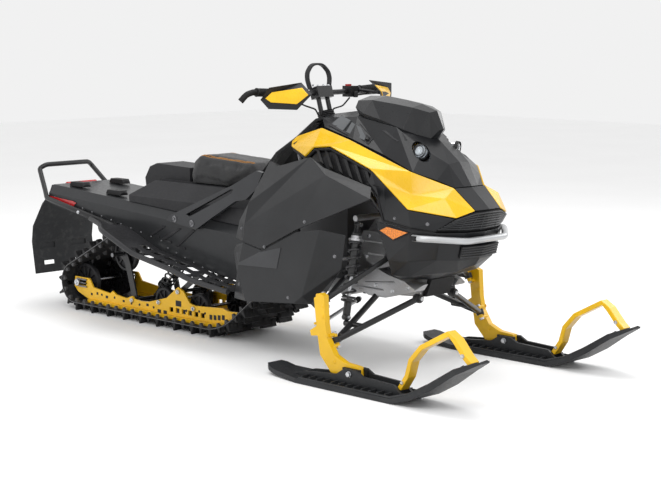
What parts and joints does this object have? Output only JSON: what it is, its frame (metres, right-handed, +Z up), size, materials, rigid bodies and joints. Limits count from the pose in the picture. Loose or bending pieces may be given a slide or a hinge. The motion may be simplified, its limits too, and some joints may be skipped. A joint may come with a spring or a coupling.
{
  "type": "snowmobile",
  "caption": "Deep-snow snowmobile: track on slide rails under a hollow tunnel, faceted bodywork, seat, raised handlebar and two sprung steering skis with hand loops.",
  "frame": {"origin": "on the ground, under the middle of the box round the whole machine", "axes": "+X forward to the ski tips, +Y to the rider's left, +Z up"},
  "size_m": [3.164, 1.09, 1.222],
  "materials": {
    "tunnel_grey": "satin grey paint with a lighter bevel",
    "board_black": "satin black paint, pierced for snow",
    "tube_black": "satin black powder coat",
    "rubber_flap": "matte moulded rubber",
    "red_lens": "prismatic red lens",
    "amber_lens": "prismatic amber lens",
    "plastic_black": "fine-grained black plastic",
    "plastic_dark": "satin black plastic",
    "plastic_grey": "grained dark grey plastic",
    "panel_grey": "satin dark grey plastic with crisp creases",
    "strut_grey": "satin grey paint",
    "seat_cover": "grained black vinyl with orange-brown stitching",
    "visor_smoke": "satin smoked plastic",
    "lamp_glass": "clear lens",
    "gloss_yellow": "gloss yellow moulded in colour",
    "grille_black": "black slatted grille",
    "bumper_silver": "silver paint on tube",
    "cast_alloy": "sand-cast alloy, lightly blasted",
    "engine_iron": "plain block in place of the engine",
    "steel_dark": "oiled dark steel",
    "steel_bright": "bright turned steel",
    "track_rubber": "black moulded rubber with tall lugs",
    "rail_yellow": "yellow anodised alloy",
    "wheel_black": "rubber-tyred moulded wheels",
    "arm_black": "black powder coat",
    "shock_black": "black damper and coil spring",
    "bar_black": "satin black tube",
    "grip_rubber": "ribbed rubber grip",
    "guard_plastic": "black plastic with yellow inlay",
    "strap_black": "rubber-covered grab strap",
    "cable_rubber": "black cable sheath",
    "forged_yellow": "yellow powder coat",
    "ski_plastic": "black moulded ski with scuffed sole",
    "loop_yellow": "yellow moulded plastic loop"
  },
  "bodies": {
    "chassis": {"tunnel": "tunnel_grey", "running_board_right": "board_black", "running_board_left": "board_black", "rear_bumper": "tube_black", "snow_flap": "rubber_flap", "tail_light": "red_lens", "tunnel_reflectors": "red_lens", "cargo_anchors": "plastic_black", "seat": "seat_cover", "fuel_tank": "plastic_grey", "side_struts": "strut_grey", "console": "plastic_black", "hood": "plastic_dark", "visor": "visor_smoke", "headlights": "lamp_glass", "hood_bands": "gloss_yellow", "side_vents": "plastic_black", "side_panel_right": "panel_grey", "side_panel_left": "panel_grey", "lower_panel_right": "panel_grey", "lower_panel_left": "panel_grey", "nose_plate": "plastic_dark", "cowl_sides": "plastic_dark", "nose": "plastic_dark", "grilles": "grille_black", "nose_reflectors": "amber_lens", "front_bumper": "bumper_silver", "bulkhead": "cast_alloy", "belly_plate": "plastic_black", "engine": "engine_iron", "drive_axle": "steel_dark", "track": "track_rubber", "rail_right": "rail_yellow", "rail_left": "rail_yellow", "rear_axle": "wheel_black", "idler_wheels": "wheel_black", "skid_arms": "arm_black", "skid_shocks": "shock_black", "upper_arms": "arm_black", "lower_arms": "arm_black", "ski_shocks": "shock_black"},
    "steering": {"steering_post": "arm_black", "handlebar": "bar_black", "grips": "grip_rubber", "hand_guards": "guard_plastic", "hand_controls": "plastic_black", "grab_strap": "strap_black", "control_cables": "cable_rubber"},
    "right_spindle": {"spindle_right": "forged_yellow"},
    "left_spindle": {"spindle_left": "forged_yellow"},
    "right_tie_rod": {"tie_rod_right": "steel_bright"},
    "left_tie_rod": {"tie_rod_left": "steel_bright"},
    "right_ski": {"ski_right": "ski_plastic", "ski_loop_right": "loop_yellow"},
    "left_ski": {"ski_left": "ski_plastic", "ski_loop_left": "loop_yellow"}
  },
  "joints": [
    {"name": "steering_turn", "type": "hinge", "parent": "chassis", "child": "steering", "pos_m": [0.299, 0, 1.093], "axis": [-0.2924, 0, 0.9563], "range_deg": [-35, 35]},
    {"name": "right_spindle_turn", "type": "hinge", "parent": "chassis", "child": "right_spindle", "pos_m": [0.816, -0.43, 0.169], "axis": [-0.3946, 0.0216, 0.9186], "range_deg": [-32, 32]},
    {"name": "right_tie_rod_turn", "type": "hinge", "parent": "right_spindle", "child": "right_tie_rod", "pos_m": [0.704, -0.4305, 0.206], "axis": [-0.3946, 0.0216, 0.9186], "range_deg": [-32, 32]},
    {"name": "right_ski_pitch", "type": "hinge", "parent": "right_spindle", "child": "right_ski", "pos_m": [0.953, -0.4625, 0.066], "axis": [0, 1, 0], "range_deg": [-20, 12], "stiffness_Nm_per_rad": 60},
    {"name": "left_spindle_turn", "type": "hinge", "parent": "chassis", "child": "left_spindle", "pos_m": [0.816, 0.43, 0.169], "axis": [-0.3946, -0.0216, 0.9186], "range_deg": [-32, 32]},
    {"name": "left_tie_rod_turn", "type": "hinge", "parent": "left_spindle", "child": "left_tie_rod", "pos_m": [0.704, 0.4305, 0.206], "axis": [-0.3946, -0.0216, 0.9186], "range_deg": [-32, 32]},
    {"name": "left_ski_pitch", "type": "hinge", "parent": "left_spindle", "child": "left_ski", "pos_m": [0.953, 0.4625, 0.066], "axis": [0, 1, 0], "range_deg": [-20, 12], "stiffness_Nm_per_rad": 60}
  ],
  "couplings": [
    {"joint": "right_spindle_turn", "follows": "steering_turn", "ratio": 0.9},
    {"joint": "right_tie_rod_turn", "follows": "steering_turn", "ratio": -0.9},
    {"joint": "left_spindle_turn", "follows": "steering_turn", "ratio": 0.9},
    {"joint": "left_tie_rod_turn", "follows": "steering_turn", "ratio": -0.9}
  ]
}
